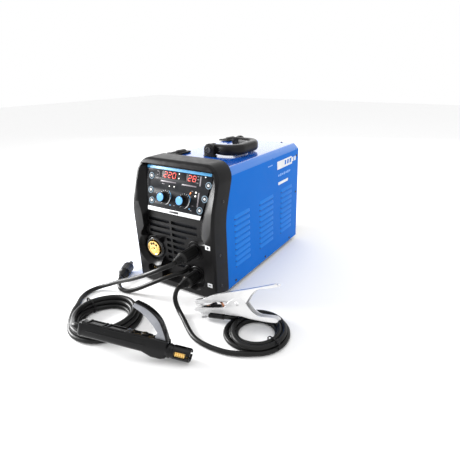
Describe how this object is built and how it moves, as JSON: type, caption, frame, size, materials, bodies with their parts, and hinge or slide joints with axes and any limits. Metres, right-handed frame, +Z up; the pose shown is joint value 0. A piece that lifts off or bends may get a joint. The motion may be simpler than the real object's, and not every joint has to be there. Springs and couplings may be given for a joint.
{
  "type": "portable welding machine",
  "caption": "Portable wire-feed welder with a sloped control panel, fold-down handle, hinged feeder door, electrode lead and earth clamp lead.",
  "frame": {"origin": "on the floor, under the middle of the machine's bounding box without its leads", "axes": "+Z up; the front with its panel and sockets faces -Y; +X is on the right of someone who looks at the front, so the feeder door is on -X"},
  "size_m": [0.5526, 0.7665, 0.3535],
  "materials": {
    "blue_paint": "gloss powder coat",
    "black_plastic": "satin",
    "panel_film": "satin film",
    "rubber": "matt",
    "zinc_steel": "zinc plated",
    "brass": "turned",
    "copper": "bare copper",
    "aluminium": "satin",
    "black_metal": "satin powder coat",
    "board": "solder mask",
    "button_grey": "satin",
    "spool_plastic": "satin",
    "wire_pack": "copper-coated wire"
  },
  "bodies": {
    "machine": {"cover_shell": "blue_paint", "front_bezel": "black_plastic", "euro_flange": "black_plastic", "polarity_gland": "black_plastic", "door_hinge_front": "black_plastic", "door_hinge_rear": "black_plastic", "handle_bracket_front": "black_plastic", "handle_bracket_rear": "black_plastic", "spool_hub": "black_plastic", "fan_frame": "black_plastic", "mains_gland": "black_plastic", "switch_housing": "black_plastic", "holder_body": "black_plastic", "control_panel": "panel_film", "display_module": "board", "inverter_board": "board", "euro_socket": "brass", "socket_positive": "brass", "socket_negative": "brass", "gas_inlet": "brass", "base_pan": "black_metal", "rear_panel": "black_metal", "feed_motor": "black_metal", "foot_front_left": "rubber", "foot_rear_left": "rubber", "foot_front_right": "rubber", "foot_rear_right": "rubber", "electrode_plug": "rubber", "earth_plug": "rubber", "polarity_plug": "rubber", "electrode_lead": "rubber", "polarity_lead": "rubber", "earth_lead": "rubber", "electrode_coil": "rubber", "earth_coil": "rubber", "centre_divider": "aluminium", "feeder_plate": "aluminium", "heat_sink": "aluminium", "clamp_lower_arm": "zinc_steel", "earth_lug": "copper"},
    "feeder_door": {"feeder_door": "blue_paint"},
    "door_latch": {"door_latch": "black_plastic"},
    "carry_handle": {"carry_handle": "black_plastic"},
    "current_knob": {"current_knob": "black_plastic"},
    "voltage_knob": {"voltage_knob": "black_plastic"},
    "button_left_top": {"button_left_top": "button_grey"},
    "button_left_middle": {"button_left_middle": "button_grey"},
    "button_left_bottom": {"button_left_bottom": "button_grey"},
    "button_right_top": {"button_right_top": "button_grey"},
    "button_right_middle": {"button_right_middle": "button_grey"},
    "button_right_bottom": {"button_right_bottom": "button_grey"},
    "fan_rotor": {"fan_rotor": "spool_plastic"},
    "switch_rocker": {"switch_rocker": "black_plastic"},
    "wire_spool": {"wire_spool": "wire_pack"},
    "drive_roll": {"drive_roll": "zinc_steel"},
    "pressure_arm": {"pressure_arm": "black_plastic"},
    "pressure_roll": {"pressure_roll": "zinc_steel"},
    "tension_knob": {"tension_knob": "black_plastic"},
    "holder_lever": {"holder_lever": "black_plastic"},
    "clamp_upper_arm": {"clamp_upper_arm": "zinc_steel"}
  },
  "joints": [
    {"name": "handle_fold", "type": "hinge", "parent": "machine", "child": "carry_handle", "pos_m": [0, 0.0047, 0.3385], "axis": [0, -1, 0], "range_deg": [0, 90]},
    {"name": "door_swing", "type": "hinge", "parent": "machine", "child": "feeder_door", "pos_m": [-0.1045, 0.0455, 0.3237], "axis": [0, 1, 0], "range_deg": [0, 100]},
    {"name": "latch_turn", "type": "hinge", "parent": "feeder_door", "child": "door_latch", "pos_m": [-0.1257, -0.06, 0.058], "axis": [-1, 0, 0], "range_deg": [0, 90]},
    {"name": "current_turn", "type": "hinge", "parent": "machine", "child": "current_knob", "pos_m": [-0.033, -0.21811, 0.2437], "axis": [0, -0.9483, 0.3173], "range_deg": [-135, 135]},
    {"name": "voltage_turn", "type": "hinge", "parent": "machine", "child": "voltage_knob", "pos_m": [0.027, -0.21811, 0.2437], "axis": [0, -0.9483, 0.3173], "range_deg": [-135, 135]},
    {"name": "button_left_top_press", "type": "slide", "parent": "machine", "child": "button_left_top", "axis": [0, 0.9483, -0.3173], "range_m": [0, 0.001], "stiffness_N_per_m": 400, "springref_m": -0.0005},
    {"name": "button_left_middle_press", "type": "slide", "parent": "machine", "child": "button_left_middle", "axis": [0, 0.9483, -0.3173], "range_m": [0, 0.001], "stiffness_N_per_m": 400, "springref_m": -0.0005},
    {"name": "button_left_bottom_press", "type": "slide", "parent": "machine", "child": "button_left_bottom", "axis": [0, 0.9483, -0.3173], "range_m": [0, 0.001], "stiffness_N_per_m": 400, "springref_m": -0.0005},
    {"name": "button_right_top_press", "type": "slide", "parent": "machine", "child": "button_right_top", "axis": [0, 0.9483, -0.3173], "range_m": [0, 0.001], "stiffness_N_per_m": 400, "springref_m": -0.0005},
    {"name": "button_right_middle_press", "type": "slide", "parent": "machine", "child": "button_right_middle", "axis": [0, 0.9483, -0.3173], "range_m": [0, 0.001], "stiffness_N_per_m": 400, "springref_m": -0.0005},
    {"name": "button_right_bottom_press", "type": "slide", "parent": "machine", "child": "button_right_bottom", "axis": [0, 0.9483, -0.3173], "range_m": [0, 0.001], "stiffness_N_per_m": 400, "springref_m": -0.0005},
    {"name": "fan_spin", "type": "hinge", "parent": "machine", "child": "fan_rotor", "pos_m": [0.054, 0.2, 0.175], "axis": [0, 1, 0], "continuous": true},
    {"name": "switch_throw", "type": "hinge", "parent": "machine", "child": "switch_rocker", "pos_m": [-0.075, 0.2127, 0.26], "axis": [-1, 0, 0], "range_deg": [0, 18]},
    {"name": "spool_spin", "type": "hinge", "parent": "machine", "child": "wire_spool", "pos_m": [-0.0555, 0.085, 0.13], "axis": [-1, 0, 0], "continuous": true},
    {"name": "drive_spin", "type": "hinge", "parent": "machine", "child": "drive_roll", "pos_m": [-0.076, -0.112, 0.0841], "axis": [-1, 0, 0], "continuous": true},
    {"name": "pressure_arm_lift", "type": "hinge", "parent": "machine", "child": "pressure_arm", "pos_m": [-0.0655, -0.146, 0.131], "axis": [1, 0, 0], "range_deg": [0, 45]},
    {"name": "pressure_spin", "type": "hinge", "parent": "pressure_arm", "child": "pressure_roll", "pos_m": [-0.076, -0.112, 0.1179], "axis": [-1, 0, 0], "continuous": true},
    {"name": "tension_turn", "type": "hinge", "parent": "pressure_arm", "child": "tension_knob", "pos_m": [-0.0655, -0.086, 0.15], "axis": [0, 0, 1], "continuous": true},
    {"name": "holder_squeeze", "type": "hinge", "parent": "machine", "child": "holder_lever", "pos_m": [0.15328, -0.44574, 0.03185], "axis": [0.3598, -0.8695, 0.3383], "range_deg": [0, 20], "stiffness_Nm_per_rad": 2, "springref_deg": -11.46},
    {"name": "clamp_squeeze", "type": "hinge", "parent": "machine", "child": "clamp_upper_arm", "pos_m": [0.21837, -0.28048, 0.05473], "axis": [-0.1361, 0.9318, -0.3366], "range_deg": [0, 20], "stiffness_Nm_per_rad": 3, "springref_deg": -11.46}
  ],
  "couplings": [
    {"joint": "pressure_spin", "follows": "drive_spin", "ratio": -1}
  ]
}
